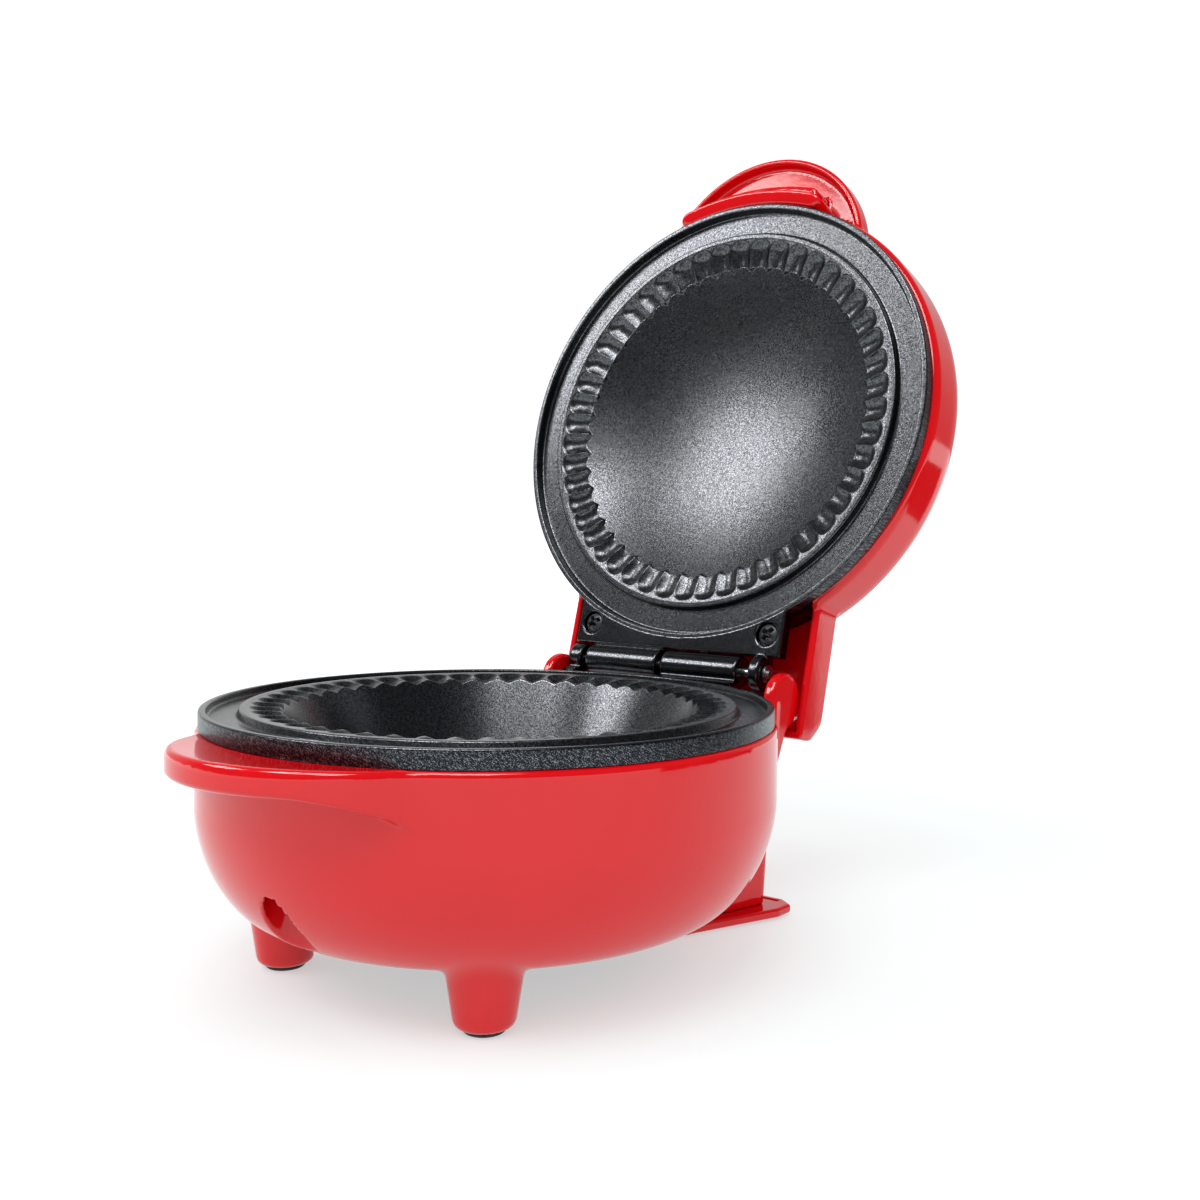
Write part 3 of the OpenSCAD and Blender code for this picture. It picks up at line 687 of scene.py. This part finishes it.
def up_ext_f(X, Y, Z):
    r = np.hypot(X, Y)
    d = rounded(np.maximum(np.abs(X) - 39.0, np.maximum(Y - 78.5, 60 - Y)), Z, UP0 + 0.02, UP1, 0.5)
    d = np.maximum(d, 74.2 - r)
    for x0, x1, rr in ((-32.0, -3.9, 4.9), (30.9, 34.4, 5.6)):
        web = box3(X, Y, Z, ((x0 + x1) / 2, 79.6, 71.2), ((x1 - x0) / 2, 3.2, 1.7), 0.4)
        d = smin(d, smin(barrel(X, Y, Z, x0, x1, rr), web, 1.2), 0.6)
    for x0, x1, rr in ((-40.0, -33.1, 5.4), (-2.6, 27.0, 5.4)):
        d = smax(d, -rounded(np.hypot(Y - HY, Z - HZ) - rr, X, x0, x1, 0.1), 0.3)
    s = np.hypot(np.abs(X) - 33.5, Y - 71.6)
    d = smax(d, -np.maximum(s - 3.75, Z - (UP0 + 2.2)), 0.35)
    d = np.maximum(d, 1.55 - np.hypot(Y - HY, Z - HZ))
    return d


def with_extension(name, turned_part, f, lo, hi, body, node, is_lid):
    P, F, I = turned_part
    p2, q2, n2 = grown(f, lo, hi, 0.42, 1)
    allp = np.concatenate([P, p2])
    faces = F + (q2 + len(P)).tolist()
    index = list(I) + [2] * len(q2)
    if is_lid:
        allp = swing(allp)
    ob = add_mesh(name, allp, faces, [CAST, BAND, SMOOTH], None, index, 50)
    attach(ob, body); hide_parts(node)
    return ob


lowp = with_extension("lower_plate_cast", LOW, low_ext_f, (-39.9, 61.1, 62.2), (39.9, 88.7, 75.1), "base", "lower_plate", False)
upp = with_extension("upper_plate_cast", UPP, up_ext_f, (-39.9, 61.1, 64.0), (39.9, 89.9, 76.1), "lid", "upper_plate", True)


# ---- screws
def screw_f(X, Y, Z):
    r = np.hypot(X, Y)
    head = np.maximum(np.sqrt(r * r + (Z + 5.2) ** 2) - 5.35, -1.9 - Z)
    d = smax(head, r - 3.4, 0.5)
    d = np.minimum(d, np.maximum(r - 1.6, np.maximum(Z, -9.8 - Z)))
    w = 0.78 - 0.06 * (-Z)
    a = np.maximum(np.abs(X) - w, np.abs(Y) - (2.6 + 0.3 * Z))
    b = np.maximum(np.abs(Y) - w, np.abs(X) - (2.6 + 0.3 * Z))
    cut = np.maximum(np.minimum(a, b), -2.4 - Z)
    return smax(d, -cut, 0.18)


P, Q, N = grown(screw_f, (-3.8, -3.8, -10.1), (3.8, 3.8, 0.5), 0.16, 1)


def put_screws(name, at, up, body, node, is_lid):
    ps, fs, ns = [], [], []
    for k, (x, y, z, ang) in enumerate(at):
        c, s = math.cos(ang), math.sin(ang)
        m = np.stack([P[:, 0] * c - P[:, 1] * s, (P[:, 0] * s + P[:, 1] * c) * up, P[:, 2] * up], 1)
        nn = np.stack([N[:, 0] * c - N[:, 1] * s, (N[:, 0] * s + N[:, 1] * c) * up, N[:, 2] * up], 1)
        ps.append(m + np.array([x, y, z]))
        ns.append(nn)
        fs.append(Q + k * len(P))
    p, n = np.concatenate(ps), np.concatenate(ns)
    if is_lid:
        p, n = swing(p), turn(n)
    ob = add_mesh(name, p, np.concatenate(fs).tolist(), [SCREW], n)
    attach(ob, body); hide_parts(node)


put_screws("upper_plate_screws_cut", [(-33.5, 71.6, UP0 + 0.25, 0.55), (33.5, 71.6, UP0 + 0.25, 0.9)], -1, "lid", "upper_plate_screws", True)
put_screws("lower_plate_screws_cut", [(-33.5, 71.6, RIM - 1.4, 0.3), (33.5, 71.6, RIM - 1.4, 1.1)], 1, "base", "lower_plate_screws", False)

# ---- finishes of the CAD nodes that stay
FINISH = {
    "bottom_cover": BLACK, "bottom_cover_screws": STEEL, "rear_stand_screws": STEEL, "front_foot_pads": RUBBER,
    "rear_foot_pads": RUBBER, "cord_gland": RUBBER, "lower_element": TUBE, "upper_element": TUBE,
    "lower_element_clips": STEEL, "upper_element_clips": STEEL, "lower_reflector": SHEET, "upper_reflector": SHEET,
    "thermostat": CERAMIC, "thermal_fuse": CERAMIC, "terminal_block": CERAMIC, "base_wiring": SLEEVE,
    "lid_wiring": SLEEVE, "hinge_pin": STEEL, "pin_clip": STEEL, "lamp_holder": CERAMIC, "neon_lamps": NEON,
    "power_lens": LENS_RED, "ready_lens": LENS_GREEN,
}
for name, mat in FINISH.items():
    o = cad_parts[name]
    if not o.material_slots:
        o.data.materials.append(mat)
    for sl in o.material_slots:
        sl.material = mat

# ------------------------------------------------------------------ camera
cam_data = bpy.data.cameras.new("camera")
cam = bpy.data.objects.new("camera", cam_data)
bpy.context.scene.collection.objects.link(cam)
R = Vector((0.8063671, 0.5913040, 0.0114734))
Uv = Vector((-0.0303640, 0.0220177, 0.9992964))
Fw = Vector((-0.5906354, 0.8061481, -0.0357087))
M = Matrix.Identity(4)
for i in range(3):
    M[i][0], M[i][1], M[i][2] = R[i], Uv[i], -Fw[i]
M[0][3], M[1][3], M[2][3] = 0.23188061, -0.25281395, 0.11490259
cam.matrix_world = M
cam_data.sensor_width = 36
cam_data.lens = 38.615
cam_data.shift_x = -0.030145
cam_data.shift_y = -0.02466
cam_data.clip_start = 0.01
bpy.context.scene.camera = cam

# ------------------------------------------------------------------ floor, light
# painted light: the floor glows by its own emission, 0.49 within 0.35 m of the origin rising to 1.06 by 1.45 m, so it
# is painted dimmer around the object and bright white further out; its base colour is cooled toward cyan to cancel the
# red light the object bounces onto it
fm, fnt, fb = new_material("floor")
fco = add(fnt, "ShaderNodeTexCoord").outputs["Object"]
fnt.links.new(ramp(fnt, noise(fnt, fco, 8, 2), [(0.3, (0.414, 0.475, 0.475)), (0.7, (0.432, 0.495, 0.495))]), fb.inputs["Base Color"])
fb.inputs["Roughness"].default_value = 0.8
fb.inputs["Specular IOR Level"].default_value = 0.0
reach = add(fnt, "ShaderNodeVectorMath", operation="LENGTH")
fnt.links.new(fco, reach.inputs[0])
painted_floor_glow = add(fnt, "ShaderNodeMapRange")
fnt.links.new(reach.outputs["Value"], painted_floor_glow.inputs["Value"])
for k, v in (("From Min", 0.35), ("From Max", 1.45), ("To Min", 0.49), ("To Max", 1.06)):
    painted_floor_glow.inputs[k].default_value = v
fb.inputs["Emission Color"].default_value = (1, 1, 1, 1)
fnt.links.new(painted_floor_glow.outputs["Result"], fb.inputs["Emission Strength"])
fm.cycles.emission_sampling = "NONE"
floor = add_mesh("floor", np.array([[-6000, -6000, 0], [6000, -6000, 0], [6000, 6000, 0], [-6000, 6000, 0]], float), [[0, 1, 2, 3]], [fm])

# low dark card to the right, out of view, for the side reflections
arc = [math.radians(a) for a in range(2, 59, 2)]
cardp = np.array([[380 * math.cos(a), 60 + 380 * math.sin(a), z] for a in arc for z in (0.5, 100.0)])
cm, cnt, cb = new_material("card")
cco = add(cnt, "ShaderNodeTexCoord").outputs["Object"]
cnt.links.new(ramp(cnt, noise(cnt, cco, 30, 2), [(0.3, gray(0.03)), (0.7, gray(0.04))]), cb.inputs["Base Color"])
cb.inputs["Roughness"].default_value = 0.9
card = add_mesh("card", cardp, [[2 * k, 2 * k + 2, 2 * k + 3, 2 * k + 1] for k in range(len(arc) - 1)], [cm])
card.visible_camera = False
card.visible_diffuse = False
card.visible_shadow = False

world = bpy.data.worlds.new("studio")
bpy.context.scene.world = world
world.use_nodes = True
world.cycles.sampling_method = "NONE"
wn = world.node_tree
bg = wn.nodes["Background"]
path = wn.nodes.new("ShaderNodeLightPath")
way = wn.nodes.new("ShaderNodeTexCoord").outputs["Generated"]
dot = add(wn, "ShaderNodeVectorMath", operation="DOT_PRODUCT")
wn.links.new(way, dot.inputs[0])
dot.inputs[1].default_value = (-0.70, 0.67, -0.25)
room = ramp(wn, dot.outputs["Value"], [(0.0, (0.115, 0.117, 0.125)), (0.2, (0.16, 0.162, 0.17)), (0.42, (0.42, 0.42, 0.42)), (0.78, (0.62, 0.62, 0.62)), (0.90, (1.0, 1.0, 1.0))])
lit = wn.nodes.new("ShaderNodeMix")
lit.data_type = "RGBA"
lit.inputs[6].default_value = (1.08, 1.08, 1.08, 1)
wn.links.new(room, lit.inputs[7])
wn.links.new(path.outputs["Is Glossy Ray"], lit.inputs["Factor"])
mixc = wn.nodes.new("ShaderNodeMix")
mixc.data_type = "RGBA"
mixc.inputs[7].default_value = (1.05, 1.05, 1.05, 1)
wn.links.new(lit.outputs[2], mixc.inputs[6])
wn.links.new(path.outputs["Is Camera Ray"], mixc.inputs["Factor"])
wn.links.new(mixc.outputs[2], bg.inputs["Color"])


def softbox(name, away, dist, size, radiance, to=(0, 0.12, 0.17)):
    """A soft light seen from the object in the direction away."""
    d = bpy.data.lights.new(name, "AREA")
    d.shape = "RECTANGLE"
    d.size, d.size_y = size
    d.energy = radiance * math.pi * size[0] * size[1]
    o = bpy.data.objects.new(name, d)
    bpy.context.scene.collection.objects.link(o)
    v = Vector(away).normalized()
    o.location = Vector(to) + v * dist
    o.rotation_mode = "QUATERNION"
    o.rotation_quaternion = (-v).to_track_quat("-Z", "Y")
    return o


def aim(az, el):
    a, e = math.radians(az), math.radians(el)
    return (math.cos(e) * math.cos(a), math.cos(e) * math.sin(a), math.sin(e))


softbox("left", aim(-134, 34.3), 1.5, (0.60, 0.46), 4.5)
softbox("front_high", aim(-77, 57), 1.5, (0.95, 0.78), 3.2)
for lamp in (softbox("left_gloss", aim(-134, 34.3), 1.49, (0.60, 0.46), 4.7),
             softbox("front_high_gloss", aim(-72, 58), 1.49, (0.84, 0.70), 4.3),
             softbox("front_left_gloss", aim(-97, 47), 1.49, (0.36, 0.34), 12.0)):
    lamp.visible_diffuse = False

bpy.context.scene.view_settings.view_transform = "Standard"
bpy.context.scene.view_settings.look = "None"
